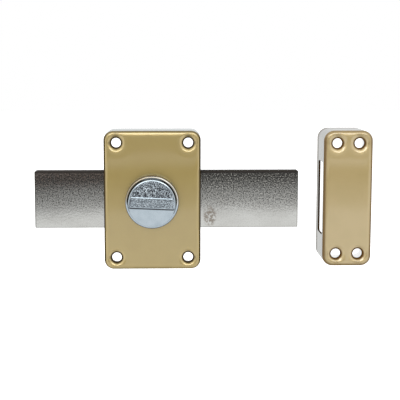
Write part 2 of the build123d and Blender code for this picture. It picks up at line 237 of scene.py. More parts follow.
# The world's brightness follows the height of a direction above the horizon, in front by one list and
# elsewhere by another. The camera sees plain white, and so do reflections away from the front.
def setWorld(look):
    world = bpy.data.worlds.new("softRoom")
    world.use_nodes = True
    bpy.context.scene.world = world
    graph = Graph(world.node_tree)
    across, along, up = graph.axes(graph.node("ShaderNodeTexCoord", out="Generated"))

    # ramp position = (1 + sine of the height) / 2
    def byHeight(stops, height):
        places = [(0.5 + 0.5 * math.sin(math.radians(angle)), bright) for angle, bright in stops]
        return graph.node("ShaderNodeValToRGB", {"stops": places}, {"Fac": height * 0.5 + 0.5})

    # how straight ahead a direction is = -along / its length seen from above
    lengthAbove = (across * across + along * along).root().atLeast(tiny)
    facing = (along * -1.0 / lengthAbove).step(*look["frontSpread"])
    front = byHeight(look["front"], up - across * look["frontTilt"])
    glow = graph.mix(byHeight(look["around"], up), front, facing)
    camera, glossy, through = graph.rayKinds()
    colour = graph.mix(glow, white, camera.atLeast(glossy.atLeast(through) * (1 - facing)))
    background = graph.node("ShaderNodeBackground", sockets={"Color": colour, "Strength": 1.0})
    graph.node("ShaderNodeOutputWorld", sockets={"Surface": background})


# A flat square grid far below the object, for its shadow. It glows a little for the rays that see it.
def setFloor(look):
    half, drop = look["floorHalf"] * mm, -look["floorDrop"] * mm
    line = np.linspace(-half, half, look["floorPoints"])
    across, along = np.meshgrid(line, line)
    points, faces = joinPatches([np.stack([across, along, np.full_like(across, drop)], -1)])
    mesh = bpy.data.meshes.new("floor")
    mesh.from_pydata(points.tolist(), [], faces.tolist())
    floor = newObject("floor", mesh)
    floor.visible_glossy = False
    material, graph = newMaterial("paleFloor")
    camera, glossy, through = graph.rayKinds()
    seen = camera.atLeast(glossy).atLeast(through)
    diffuse = graph.node("ShaderNodeBsdfDiffuse", sockets={"Color": look["floorColour"]})
    lift = graph.node("ShaderNodeEmission", sockets={"Color": white, "Strength": seen * look["floorLift"]})
    both = graph.node("ShaderNodeAddShader", sockets={0: diffuse, 1: lift})
    graph.node("ShaderNodeOutputMaterial", sockets={"Surface": both})
    mesh.materials.append(material)


def setLamps(look):
    for name, place, aim, size, power in look["lamps"]:
        data = bpy.data.lights.new(name, "AREA")
        data.size = size * mm
        data.energy = power
        lamp = newObject(name, data)
        here = np.array(place) * mm
        lamp.location = here
        toward = Vector(np.array(aim) * mm - here)
        lamp.rotation_euler = toward.to_track_quat("-Z", "Y").to_euler()
        lamp.visible_glossy = False


# Mesh sums. Faces are kept as two arrays, quads and triangles.

# Quads of several grids of points, each (rows, columns, 3), in one list.
def joinPatches(patches):
    points, quads, start = [], [], 0
    for grid in patches:
        rows, columns = grid.shape[:2]
        index = start + np.arange(rows * columns).reshape(rows, columns)
        corners = [index[:-1, :-1], index[:-1, 1:], index[1:, 1:], index[1:, :-1]]
        quads.append(np.stack(corners, -1).reshape(-1, 4))
        points.append(grid.reshape(-1, 3))
        start += rows * columns
    return np.vstack(points), np.vstack(quads)


weld = {
    "reach": 0.002,  # size of the cells
    "offset": 0.3137,  # keeps round sizes away from the borders of the cells
}


# Points in the same cell of a fine grid become one: which points stay, and the number of each point's twin.
def weldMap(points):
    keys = np.floor(points / weld["reach"] + weld["offset"]).astype(np.int64)
    kept, twin = np.unique(keys, axis=0, return_index=True, return_inverse=True)[1:]
    return kept, twin.reshape(-1)


# Welded quads: those with four different corners stay, those with three become triangles, the rest go.
def cleanFaces(quads):
    fresh = quads != np.roll(quads, 1, axis=1)
    count = fresh.sum(axis=1)
    different = 1 + (np.diff(np.sort(quads, axis=1), axis=1) > 0).sum(axis=1)
    triangle = (count == 3) & (different == 3)
    return quads[(count == 4) & (different == 4)], quads[triangle][fresh[triangle]].reshape(-1, 3)


def faceLists(quads, triangles):
    return quads.tolist() + triangles.tolist()


# Faces of an open or closed surface turned the same way, outwards.
def turnOutwards(points, quads, triangles):
    mesh = bpy.data.meshes.new("turned")
    mesh.from_pydata(points.tolist(), [], faceLists(quads, triangles))
    shape = bmesh.new()
    shape.from_mesh(mesh)
    bmesh.ops.recalc_face_normals(shape, faces=shape.faces)
    shape.to_mesh(mesh)
    shape.free()
    corners = np.empty(len(mesh.loops), np.int32)
    mesh.loops.foreach_get("vertex_index", corners)
    bpy.data.meshes.remove(mesh)
    return corners[:quads.size].reshape(-1, 4), corners[quads.size:].reshape(-1, 3)


# A wall between two skins with the same faces: every open edge gets one quad across the thickness.
def closeSkins(outer, inner, quads, triangles):
    count = len(outer)
    edges = [np.stack([part, np.roll(part, -1, axis=1)], -1).reshape(-1, 2) for part in (quads, triangles)]
    edges = np.vstack(edges)
    firsts, uses = np.unique(np.sort(edges, axis=1), axis=0, return_index=True, return_counts=True)[1:]
    rim = edges[firsts[uses == 1]]
    bridges = np.column_stack([rim[:, 1], rim[:, 0], rim[:, 0] + count, rim[:, 1] + count])
    backs = faceLists(quads[:, ::-1] + count, triangles[:, ::-1] + count)
    return np.vstack([outer, inner]), faceLists(quads, triangles) + backs + bridges.tolist()


# A piece of the object: its mesh in metres, smooth but for edges past the sharp angle, moving with its body.
def makePiece(name, points, faces, body, finishes, replaced, sharp):
    mesh = bpy.data.meshes.new(name)
    mesh.from_pydata((points * mm).tolist(), [], faces)
    mesh.validate()
    mesh.polygons.foreach_set("use_smooth", np.ones(len(mesh.polygons), bool))
    mesh.set_sharp_from_angle(angle=math.radians(sharp))
    for finish in finishes:
        mesh.materials.append(finish)
    piece = newObject(name, mesh)
    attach(piece, body)
    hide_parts(*replaced)
    print(name, len(points), "points,", len(faces), "faces")
    return piece


def setAttribute(piece, name, values):
    layer = piece.data.attributes.new(name, "FLOAT", "POINT")
    layer.data.foreach_set("value", values.astype(np.float32))


# 0 at low, 1 at high and straight between; high may be the smaller one.
def ramp(values, low, high):
    return np.clip((values - low) / (high - low), 0, 1)


# Points from their x, depth and z, each an array or a number.
def spots(x, depth, z):
    return np.stack(np.broadcast_arrays(x, -depth, z), -1)


# Smooth random heights from -1 to 1 on a square lattice of one cell size, eased between its corners by
#   t * t * (3 - 2 * t)
def latticeNoise(first, second, cell, seed):
    count, shift = 256, 100
    draws = np.random.default_rng(seed).uniform(-1, 1, (count, count))
    a, b = first / cell + shift, second / cell + shift
    column, row = np.floor(a).astype(int), np.floor(b).astype(int)
    s, t = a - column, b - row
    s, t = s * s * (3 - 2 * s), t * t * (3 - 2 * t)
    here, right = draws[row % count, column % count], draws[row % count, (column + 1) % count]
    above, both = draws[(row + 1) % count, column % count], draws[(row + 1) % count, (column + 1) % count]
    return (here * (1 - s) + right * s) * (1 - t) + (above * (1 - s) + both * s) * t


# Pressed shells: case and strike

# Four holes, one near each corner.
def fourHoles(x, z):
    return [(-x, -z), (x, -z), (-x, z), (x, z)]


pressed = {
    "sheet": 1.3,
    "innerRound": 0.7,  # how much smaller the inner skin's edge rounding is, in sheets
    "flat": 1.0,  # plan distance from the outline where the panel's grid ends
    "holeRadius": 3.1,
    "collar": 0.5,  # how far past a dimple the fine rings reach
    "boreCollar": 2.0,
    "step": 0.75,
    "leastSteps": 6,
    "bendSteps": 14,
    "collarPoints": 11,
    "roundPoints": 10,
    "sharp": 40,  # degrees from which an edge stays sharp
    # the lacquer: tilt in degrees where it ends, over how many degrees, and how far in front of the wall
    "coatEnd": (89, 3, 0.05),
    "lineWrap": 0.3,  # how much of its lead on top the start of its painted edge shade has too
    "holeLine": (0.75, 0.6),  # painted shade round a hole: width and softness
}
caseShape = {
    **pressed,
    "centre": (0.0, 0.0),
    "half": (31.0, 45.0),
    "corner": 6.2,
    "depth": 16.0,
    "edge": (3.6, 2.0),  # how wide and how deep the press rounds the front's edge
    "splitsX": (-12.0, 12.0),
    "splitsZ": (-19.1, 19.1),
    "holes": fourHoles(23.0, 37.2),
    "dimple": (5.4, 1.535, 0.45),  # outer radius, depth, softness of its edge
    # painted shade along the front's edge: tilt in degrees where it starts, its softness, its strength,
    # and by how many degrees it and the lacquer end sooner on top
    "line": (41, 9, 1.0, 25),
    "lineEnds": (0.6, 0.5),  # how strong that edge is on top and at the bottom
    "backLine": (0.5, 0.0),  # how wide and how strong the painted shade at the open back is
    "bore": 5.22,
    "slots": {"left": (5.4, 12.6), "right": (5.4, 12.6)},  # from and to which depth a side is open
    "slotCorner": 0.6,
    "rings": 12,
}
strikeShape = {
    **pressed,
    "centre": (124.2, 1.8),
    "half": (15.5, 43.5),
    "corner": 6.6,
    "depth": 22.0,
    "edge": (3.4, 2.2),
    "splitsX": (0.0,),
    "splitsZ": (-24.0, 23.0),
    "holes": fourHoles(7.0, 35.5),
    "dimple": (5.5, 1.535, 0.6),
    "line": (26, 22, 0.85, 0),
    "lineEnds": (0.6, 0.9),
    "backLine": (6.0, 0.38),
    "bore": 0.0,
    "slots": {"left": (5.2, 18.0)},
    "slotCorner": 1.5,
    "rings": 10,
}


# Plan distance from a rounded rectangle's outline, positive inside:
#   corner - distance past the middle of a corner's arc - the larger side distance where both are negative
def insideBy(x, z, half, corner):
    across, up = np.abs(x) - (half[0] - corner), np.abs(z) - (half[1] - corner)
    outside = np.hypot(np.maximum(across, 0), np.maximum(up, 0))
    return corner - outside - np.minimum(np.maximum(across, up), 0)


# The plan of one skin, inset by a sheet or by nothing. The panel is cut into cells at the shape's splits,
# and both skins get the same number of steps in each cell.
def skinPlan(shape, inset):
    half = [side - inset for side in shape["half"]]
    wide, deep = [part - shape["innerRound"] * inset for part in shape["edge"]]
    reach = shape["flat"] * wide / shape["edge"][0]
    corner = shape["corner"] - inset
    edge = [side - reach for side in half]
    splits, counts = [], []
    for axis, inner in enumerate((shape["splitsX"], shape["splitsZ"])):
        end = shape["half"][axis] - shape["flat"]
        line = [-end, *inner, end]
        splits.append([-edge[axis], *inner, edge[axis]])
        counts.append([max(shape["leastSteps"], round(span / shape["step"])) for span in np.diff(line)])
    return SimpleNamespace(
        half=half, corner=corner, front=shape["depth"] - inset, wide=wide, deep=deep, reach=reach, edge=edge,
        bend=corner - reach, bendSteps=shape["bendSteps"], splits=splits, counts=counts,
        lastColumn=len(splits[0]) - 2, lastRow=len(splits[1]) - 2, middleRow=(len(splits[1]) - 2) // 2,
    )


# The front panel is a height over the plan:
#   height = depth - edge rounding(distance to the outline) - sum of dimples(distance to the hole)
# with edge rounding = deep * (1 - cos t), sin t = 1 - distance / wide, and
# dimple = (c + sqrt(c * c + soft * soft)) / 2, c = sunk * (outer - r) / (outer - hole).
def panelHeight(shape, skin, x, z):
    outer, sunk, soft = shape["dimple"]
    away = np.clip(insideBy(x, z, skin.half, skin.corner), 0, skin.wide)
    drop = skin.deep * (1 - np.sqrt(1 - (1 - away / skin.wide) ** 2))
    for holeX, holeZ in shape["holes"]:
        cone = sunk * (outer - np.hypot(x - holeX, z - holeZ)) / (outer - shape["holeRadius"])
        drop = drop + (cone + np.sqrt(cone * cone + soft * soft)) / 2
    return skin.front - drop


# Left, right, low and high side of a cell of the panel.
def cellBox(skin, column, row):
    return (*skin.splits[0][column:column + 2], *skin.splits[1][row:row + 2])


# The outline of a cell, counter-clockwise from its lower left, as four named sides. A side that ends in a
# rounded corner of the panel stops where the bend starts, and the bend follows as a side of its own:
#   point = middle of the bend + bend * (cos turn, sin turn)
def cellSides(skin, column, row):
    left, right, low, high = cellBox(skin, column, row)
    walk = [(left, low), (right, low), (right, high), (left, high)]
    bends = [(0, 0), (skin.lastColumn, 0), (skin.lastColumn, skin.lastRow), (0, skin.lastRow)]
    cuts = [(column, row) == bend for bend in bends]
    sides = {}
    for place, name in enumerate(("low", "right", "high", "left")):
        after = (place + 1) % 4
        start, end = np.array(walk[place]), np.array(walk[after])
        unit = np.sign(end - start)
        count = skin.counts[place % 2][(column, row)[place % 2]]
        first = start + unit * skin.bend * cuts[place]
        last = end - unit * skin.bend * cuts[after]
        sides[name] = np.linspace(first, last, count + 1)
        if cuts[after]:
            middle = last + np.array([-unit[1], unit[0]]) * skin.bend
            begin = math.atan2(last[1] - middle[1], last[0] - middle[0])
            turn = begin + np.linspace(0, math.pi / 2, skin.bendSteps + 1)
            sides["bend"] = middle + skin.bend * np.column_stack([np.cos(turn), np.sin(turn)])
    return sides


# Rings from a hole to the cell's outline, round as far as the collar and then drawn over to the outline:
#   point = hole + r * direction, then point = collar + share * (outline - collar)
def ringCell(shape, outline, hole, radius, collar):
    toward = outline - np.array(hole)
    toward = toward / np.linalg.norm(toward, axis=1, keepdims=True)
    radii = np.linspace(radius, collar, shape["collarPoints"])[:, None, None]
    near = np.array(hole) + toward * radii
    shares = np.linspace(0, 1, shape["rings"] + 1)[1:, None, None]
    return np.concatenate([near, near[-1] + (outline - near[-1]) * shares])


# One grid of points for each cell of the panel: rings where it has a hole, else rows and columns.
def panelPatches(shape, skin):
    patches = []
    for column in range(skin.lastColumn + 1):
        for row in range(skin.lastRow + 1):
            left, right, low, high = cellBox(skin, column, row)
            inCell = [spot for spot in shape["holes"] if left < spot[0] < right and low < spot[1] < high]
            hole = inCell[0] if inCell else None
            radius, collar = shape["holeRadius"], shape["dimple"][0] + shape["collar"]
            if shape["bore"] and left < 0 < right and low < 0 < high:
                hole, radius, collar = (0.0, 0.0), shape["bore"], shape["bore"] + shape["boreCollar"]
            if hole:
                sides = cellSides(skin, column, row)
                outline = np.vstack([side[:-1] for side in sides.values()] + [sides["low"][:1]])
                plan = ringCell(shape, outline, hole, radius, collar)
            else:
                across = np.linspace(left, right, skin.counts[0][column] + 1)
                up = np.linspace(low, high, skin.counts[1][row] + 1)
                plan = np.stack(np.meshgrid(across, up), -1)
            x, z = plan[..., 0], plan[..., 1]
            patches.append(spots(x, panelHeight(shape, skin, x, z), z))
    return patches


# The panel's rim, counter-clockwise from the lower left, and the side that each of its steps may open.
def panelRim(skin):
    columns, rows = range(skin.lastColumn + 1), range(skin.lastRow + 1)
    walk = [(column, 0, "low") for column in columns] + [(skin.lastColumn, 0, "bend")]
    walk += [(skin.lastColumn, row, "right") for row in rows] + [(skin.lastColumn, skin.lastRow, "bend")]
    walk += [(column, skin.lastRow, "high") for column in reversed(columns)] + [(0, skin.lastRow, "bend")]
    walk += [(0, row, "left") for row in reversed(rows)] + [(0, 0, "bend")]
    runs = [cellSides(skin, column, row)[side][:-1] for column, row, side in walk]
    marks = [side if row == skin.middleRow else "" for column, row, side in walk]
    return np.vstack(runs + [runs[0][:1]]), np.repeat(marks, [len(run) for run in runs])


# The wall: the rim moves out along its plan normal over the rest of the edge rounding,
#   outward = reach - wide * (1 - sin tilt), depth = front - deep * (1 - cos tilt),
# and then straight back, with rows at the depths where the slots begin and end.
def wallGrid(shape, skin, plan):
    base = np.clip(plan, [skin.bend - part for part in skin.edge], [part - skin.bend for part in skin.edge])
    normal = (plan - base) / np.linalg.norm(plan - base, axis=1, keepdims=True)
    tilts = np.linspace(math.asin(1 - skin.reach / skin.wide), math.pi / 2, shape["roundPoints"])
    outward = skin.reach - skin.wide * (1 - np.sin(tilts))
    depths = skin.front - skin.deep * (1 - np.cos(tilts))
    windows = sorted({value for pair in shape["slots"].values() for value in pair}, reverse=True)
    stops = [depths[-1], *windows, 0.0]
    spans = -np.diff([shape["depth"] - shape["edge"][1], *windows, 0.0])
    steps = [max(2, math.ceil(span)) for span in spans]
    runs = [np.linspace(start, end, count + 1)[1:] for start, end, count in zip(stops, stops[1:], steps)]
    wall = np.concatenate(runs)
    outward = np.concatenate([outward, np.full(len(wall), skin.reach)])
    depths = np.concatenate([depths, wall])
    carried = plan[None] + normal[None] * outward[:, None, None]
    grid = spots(carried[..., 0], depths[:, None], carried[..., 1])
    grid[0, :, 1] = -panelHeight(shape, skin, plan[:, 0], plan[:, 1])
    return grid


# The wall's openings: which of its faces are left out. Points past a slot's corner arc are drawn onto it:
#   point = base + (point - base) * corner / distance
def openWall(shape, skin, grid, marks):
    missing = np.zeros((grid.shape[0] - 1, grid.shape[1] - 1), bool)
    corner = shape["slotCorner"]
    bottom, top = shape["splitsZ"]
    for side, (low, high) in shape["slots"].items():
        rows = (-grid[:-1, 0, 1] <= high + tiny) & (-grid[1:, 0, 1] >= low - tiny)
        missing |= rows[:, None] & (marks == side)[None]
        sign = -1 if side == "left" else 1
        z, depth = grid[..., 2], -grid[..., 1]
        spot = (grid[..., 0] * sign > skin.half[0] - tiny) & (z > bottom - tiny) & (z < top + tiny)
        spot &= (depth > low - tiny) & (depth < high + tiny)
        baseZ = np.clip(z, bottom + corner, top - corner)
        baseDepth = np.clip(depth, low + corner, high - corner)
        away = np.hypot(z - baseZ, depth - baseDepth)
        pull = np.where(spot & (away > corner), corner / np.maximum(away, tiny), 1.0)
        grid[..., 2] = baseZ + (z - baseZ) * pull
        grid[..., 1] = -(baseDepth + (depth - baseDepth) * pull)
    return missing


# One skin of a shell: the panel's cells and the wall without its openings, moved to the shell's centre.
def shellSkin(shape, inset):
    skin = skinPlan(shape, inset)
    patches = panelPatches(shape, skin)
    plan, marks = panelRim(skin)
    grid = wallGrid(shape, skin, plan)
    missing = openWall(shape, skin, grid, marks)
    points, quads = joinPatches(patches + [grid])
    keep = np.ones(len(quads), bool)
    keep[len(quads) - missing.size:] = ~missing.reshape(-1)
    return points + np.array([shape["centre"][0], 0, shape["centre"][1]]), quads[keep]


# The lacquer covers the outer skin's front up to where the rounding turns into the wall. Painted shade
# darkens it along that edge and round the holes, and darkens the wall at the open back:
#   dark edge = (tilt - start) / softness, weaker on top and at the bottom
def coatShell(piece, shape, points, outerSkin):
    wide, deep = shape["edge"]
    wallStart = shape["depth"] - deep
    depth = -points[:, 1]
    local = points[:, [0, 2]] - shape["centre"]
    near = insideBy(local[:, 0], local[:, 1], shape["half"], shape["corner"]) < wide
    tilt = np.where(near, np.degrees(np.arccos(np.clip((depth - wallStart) / deep, -1, 1))), 0)
    middles = np.array(shape["half"]) - shape["corner"]
    outward = local - np.clip(local, -middles, middles)
    up = outward[:, 1] / np.maximum(np.hypot(*outward.T), tiny)
    top, bottom = np.maximum(up, 0), np.maximum(-up, 0)

    start, spread, strength, lead = shape["line"]
    end, fade, above = shape["coatEnd"]
    start = start - shape["lineWrap"] * lead * top
    end = end - lead * top
    gold = ramp(tilt, end + fade, end) * outerSkin * (depth > wallStart + above)
    onTop, below = shape["lineEnds"]
    ends = 1 - (1 - onTop) * top - (1 - below) * bottom
    # painted shade along the front's edge, at the open back and round the holes
    dark = ramp(tilt, start, start + spread) * gold * strength * ends
    backWide, backStrength = shape["backLine"]
    dark = np.maximum(dark, backStrength * ramp(depth, backWide, backWide / 2) * outerSkin)
    ringWide, ringSoft = shape["holeLine"]
    for hole in shape["holes"]:
        away = np.hypot(local[:, 0] - hole[0], local[:, 1] - hole[1]) - shape["holeRadius"]
        dark = np.maximum(dark, ramp(away, ringWide + ringSoft, ringWide) * outerSkin)
    setAttribute(piece, "goldCoat", gold)
    setAttribute(piece, "coatEdge", dark)


# Two skins of one sheet, closed along every open edge, with a finish each for outside, inside and cut edge.
def pressedShell(name, shape, node, finishes):
    outer, quads = shellSkin(shape, 0.0)
    inner = shellSkin(shape, shape["sheet"])[0]
    kept, twin = weldMap(outer)
    faces = cleanFaces(twin[quads])
    used = np.unique(np.concatenate([part.reshape(-1) for part in faces]))
    renumber = np.full(len(kept), -1)
    renumber[used] = np.arange(len(used))
    outer, inner = outer[kept][used], inner[kept][used]
    faces = turnOutwards(outer, *[renumber[part] for part in faces])
    skinFaces = sum(len(part) for part in faces)
    points, lists = closeSkins(outer, inner, *faces)
    piece = makePiece(name, points, lists, "case", finishes, [node], shape["sharp"])
    finishIndex = np.minimum(np.arange(len(lists)) // skinFaces, len(finishes) - 1)
    piece.data.polygons.foreach_set("material_index", finishIndex.astype(np.int32))
    coatShell(piece, shape, points, np.arange(len(points)) < len(outer))


# Knob

knobShape = {
    "faceRadius": 14.2,
    "crownFront": 24.3,
    "faceSlope": 1.3,  # degrees that each half of the crown leans away from the bar
    "barHalf": (13.9, 3.45),
    "barFront": 25.1,
    "barTilt": 0.35,  # degrees that the bar's face looks down
    "barBreak": (0.65, 0.26),  # how wide and how deep the bar's edges are broken
    "barShares": (0.985, 0.955),  # the most of a row that the bar and its face may take up
    "turn": 2.5,  # degrees that the knob stands clockwise of upright
    "grain": (0.36, 0.1, 0.06, 0.002),  # blob size, and height on the upper half, the bar and the lower half
    "grainSeeds": (11, 12),
    "grainShares": (0.65, 0.35),  # of the coarse and the fine grain, which has half the blob size
    "grainFade": (0.6, 0.5, 0.4),  # over how much it fades at the rim, beside the bar and on the bar
    "step": 0.17,
    # radius and depth from the crown's edge round the back to the hub
    "profile": [
        (14.75, 24.02), (14.85, 23.7), (14.85, 23.2), (14.85, 20.4), (15.6, 20.4),
        (15.6, 21.85), (16.3, 21.7), (16.8, 21.25), (17.0, 20.7), (17.0, 17.2),
        (16.3, 16.5), (14.8, 16.5), (14.8, 19.7), (7.0, 19.7), (7.0, 16.85),
    ],
    "soft": 0.12,
    "softPoints": 4,
    "softMost": 0.45,  # the most of a side that the curve at its end takes up
    "leanDepths": (21.9, 23.8),  # from where to where the crown's wall takes on the crown's lean
    "crownWall": 14.9,
    "chamfer": (23.75, 4.0),  # depth where it starts, and how fast it is filled up on the lower half
    "groove": (14.8, 15.61, 20.0),  # the sunk ring: its radii, and the depth that it stays in front of
    "grooveFloor": (20.4, 1.45, 0.35, 1.6),  # depth on top, rise at the bottom, where and how fast it rises
    "boreRadius": 3.02,
    "boreFlat": 2.32,
    "boreDepth": (16.85, 22.4),
    "sharp": 32,  # degrees from which an edge stays sharp
}


# A polyline with each inner corner drawn as a small curve:
#   (1 - t) ** 2 * a + 2 * t * (1 - t) * corner + t * t * c, from a before the corner to c after it
def softened(points, radius, count, most):
    points = np.array(points, float)
    made = [points[:1]]
    t = np.linspace(0, 1, count)[:, None]
    for before, here, after in zip(points, points[1:], points[2:]):
        back, ahead = before - here, after - here
        a = here + back * min(most, radius / np.linalg.norm(back))
        c = here + ahead * min(most, radius / np.linalg.norm(ahead))
        made.append((1 - t) ** 2 * a + 2 * t * (1 - t) * here + t * t * c)
    return np.vstack(made + [points[-1:]])


# How far each half of the crown has dropped at a distance v from the bar's axis: tan(slope) * (|v| - bar)
def crownLean(shape, v):
    return np.tan(math.radians(shape["faceSlope"])) * np.maximum(np.abs(v) - shape["barHalf"][1], 0)


# The crown's face is a grid of rows v = R sin(angle) and columns u inside the circle, lifted to the
# bar's height between its edges; every row's ends lie on the circle that the profile turns from.
def crownFace(shape):
    radius, (barU, barV) = shape["faceRadius"], shape["barHalf"]
    breakWide, breakDeep = shape["barBreak"]
    inU, inV = barU - breakWide, barV - breakWide
    edgeAngle, innerAngle = math.asin(barV / radius), math.asin(inV / radius)
    stepAngle = shape["step"] / radius
    outerRows = np.linspace(edgeAngle, math.pi / 2, int((math.pi / 2 - edgeAngle) / stepAngle) + 1)
    innerRows = np.linspace(-innerAngle, innerAngle, int(2 * innerAngle / stepAngle) + 1)
    angles = np.concatenate([-outerRows[::-1], [-edgeAngle], innerRows, [edgeAngle], outerRows])

    # level 0 is the crown, 1 the bar's broken edge and 2 the bar's face
    rowLevel = np.concatenate([outerRows * 0, [1], innerRows * 0 + 2, [1], outerRows * 0])
    shares = np.linspace(-1, 1, int(2 * inU / shape["step"]) + 1)
    columnLevel = np.concatenate([[0, 0, 0, 1], shares * 0 + 2, [1, 0, 0, 0]])
    level = np.minimum(rowLevel[:, None], columnLevel[None])
    half = np.cos(angles)[:, None] * radius
    outerShare, innerShare = shape["barShares"]
    outer = np.minimum(barU, outerShare * half)
    inner = shares[None] * np.minimum(inU, innerShare * half)
    between = (half + outer) / 2
    u = np.hstack([-half, -between, -outer, -outer, inner, outer, outer, between, half])
    v = np.broadcast_to(np.sin(angles)[:, None] * radius, u.shape)

    size, upper, middle, lower = shape["grain"]
    coarse, fine = [latticeNoise(u, v, size / (n + 1), seed) for n, seed in enumerate(shape["grainSeeds"])]
    coarseShare, fineShare = shape["grainShares"]
    grain = coarseShare * coarse + fineShare * fine
    atRim, besideBar, onBar = shape["grainFade"]
    inset = ramp(radius - np.hypot(u, v), 0, atRim)
    sandHeight = np.where(v > 0, upper, lower) * ramp(np.abs(v), barV, barV + besideBar) * inset
    barInset = ramp(np.minimum(inU - np.abs(u), inV - np.abs(v)), 0, onBar)
    crown = shape["crownFront"] - crownLean(shape, v) + grain * sandHeight
    barLean = np.tan(math.radians(shape["barTilt"])) * (v - inV)
    barTop = shape["barFront"] + grain * middle * barInset - middle + barLean
    depth = np.where(level == 0, crown, np.where(level == 1, shape["barFront"] - breakDeep, barTop))
    return spots(u, depth, v), angles


# The profile turned round the axis: point = (r cos(angle), -depth, r sin(angle)). The crown's wall leans
# with the crown. The lower half keeps a plain edge: its chamfer is filled up and its sunk ring is shallow.
def knobSkirt(shape, around):
    radius, front = shape["faceRadius"], shape["crownFront"]
    profile = [(radius, front), *shape["profile"]]
    rings = softened(profile, shape["soft"], shape["softPoints"], shape["softMost"])
    far, deep = rings[:, :1], rings[:, 1:]
    sine = np.sin(around)[None]
    follow = ramp(deep, *shape["leanDepths"]) * (far < shape["crownWall"])
    depth = deep - follow * crownLean(shape, sine * radius)
    chamferStart, fillRate = shape["chamfer"]
    fill = np.clip(-fillRate * sine, 0, 1) * ((deep > chamferStart) & (far > radius))
    depth = depth + fill * (front - deep)
    inner, outer, behind = shape["groove"]
    sunk = (far > inner) & (far < outer) & (deep > behind)
    floor, rise, middle, rate = shape["grooveFloor"]
    floorDepth = floor + rise * np.clip(middle - rate * sine, 0, 1)
    depth = np.where(sunk, np.maximum(depth, floorDepth), depth)
    return spots(np.cos(around)[None] * far, depth, sine * far)


# The bore is a circle with a flat: r = min(radius, flat / -sin(angle)) below the axis. The flat stays level
# while the crown is turned, so it is worked out in the turned frame.
def knobBore(shape, around, tilt):
    cosine, sine = np.cos(around), np.sin(around)
    down = -(sine * math.cos(tilt) - cosine * math.sin(tilt))
    bore = np.minimum(shape["boreRadius"], shape["boreFlat"] / np.maximum(down, tiny))
    back, bottom = shape["boreDepth"]
    hub = shape["profile"][-1][0]
    levels = [(hub, 0, back), (0, 1, back), (0, 1, (back + bottom) / 2), (0, 1, bottom), (0, 0, bottom)]
    rings = [(r + share * bore, y) for r, share, y in levels]
    return np.stack([spots(r * cosine, y, r * sine) for r, y in rings])


# Where the knob gets painted shade, painted shadow and a painted reflection, and where it is sandy.
knobMarks = {
    "ring": (14.8, 15.7, 20.0, 23.3),  # painted shade in the sunk ring: between which radii and which depths
    "ringTop": (-3, 0),  # height from which it shows and where it is full
    "ringGap": (-0.5, 3.5, 4, 0.25),  # its fainter place on top: middle, half width, softness and strength
    "under": (0.4, 0.4, 0.01, 0.2),  # painted shade under the bar: width, softness, lap on it and past its ends
    "crown": 23.5,  # the crown lies in front of this depth, and the skirt's face in front of the next
    "skirt": 19,
    "outline": (16.4, 0.25, 8, 0.4),  # painted shadow round the knob: radius, how much it widens below and by where, softness
    "shoulder": (15.5, -2, 3),  # painted reflection on the shoulder: radius, and height from which it shows and where it is full
    "sand": (0.4, 0.52, 0.2),  # softness beside the bar, share on the bar, and how far inside the rim it ends
}


# Painted shade, painted shadow at the outline, painted reflection on the shoulder and sand from 0 to 1 for
# each point, by x and z as they are before the turn.
def markKnob(piece, shape, marks, x, depth, z):
    barU, barV = shape["barHalf"]
    inV = barV - shape["barBreak"][0]
    away = np.hypot(x, z)
    onCrown, onSkirt = depth > marks["crown"], depth > marks["skirt"]
    inner, outer, behind, before = marks["ring"]
    inRing = (away > inner) & (away < outer) & (depth < before) & (depth > behind)
    ring = inRing * ramp(z, *marks["ringTop"])
    middle, half, soft, least = marks["ringGap"]
    ring = ring * np.clip((np.abs(x - middle) - half) / soft, least, 1)
    wide, soft, lapBar, lapEnd = marks["under"]
    full = barV + wide
    under = ramp(-z, full + soft, full) * (z < -inV - lapBar) * (np.abs(x) < barU + lapEnd)
    # painted shade in the sunk ring and under the bar
    setAttribute(piece, "crease", np.maximum(ring, under * onCrown))
    # painted shadow round the knob
    start, widen, over, soft = marks["outline"]
    start = start - widen * ramp(-z, 0, over)
    setAttribute(piece, "outline", ramp(away, start, start + soft) * onSkirt)
    # painted reflection on the shoulder
    shoulder, low, high = marks["shoulder"]
    setAttribute(piece, "shoulder", ((away > shoulder) & onSkirt) * ramp(z, low, high))
    soft, barShare, inset = marks["sand"]
    sandy = ramp(z, barV, barV + soft) + barShare * (np.abs(z) < inV)
    setAttribute(piece, "sand", sandy * (away < shape["faceRadius"] - inset) * onCrown)


# Crown, skirt and bore in one skin, turned clockwise: (x cos + z sin, z cos - x sin).
def knobBody(shape, material):
    face, angles = crownFace(shape)
    around = np.concatenate([angles, math.pi - angles[::-1][1:]])
    tilt = math.radians(shape["turn"])
    points, quads = joinPatches([face, knobSkirt(shape, around), knobBore(shape, around, tilt)])
    x, z = points[:, 0].copy(), points[:, 2].copy()
    points[:, 0] = x * math.cos(tilt) + z * math.sin(tilt)
    points[:, 2] = z * math.cos(tilt) - x * math.sin(tilt)
    kept, twin = weldMap(points)
    points = points[kept]
    lists = faceLists(*turnOutwards(points, *cleanFaces(twin[quads])))
    piece = makePiece("knobBody", points, lists, "knob", [material], ["knob"], shape["sharp"])
    markKnob(piece, shape, knobMarks, x[kept], -points[:, 1], z[kept])


# Finishes. Noises are given by size, detail and stretch. Their sizes and the bump depths are millimetres.

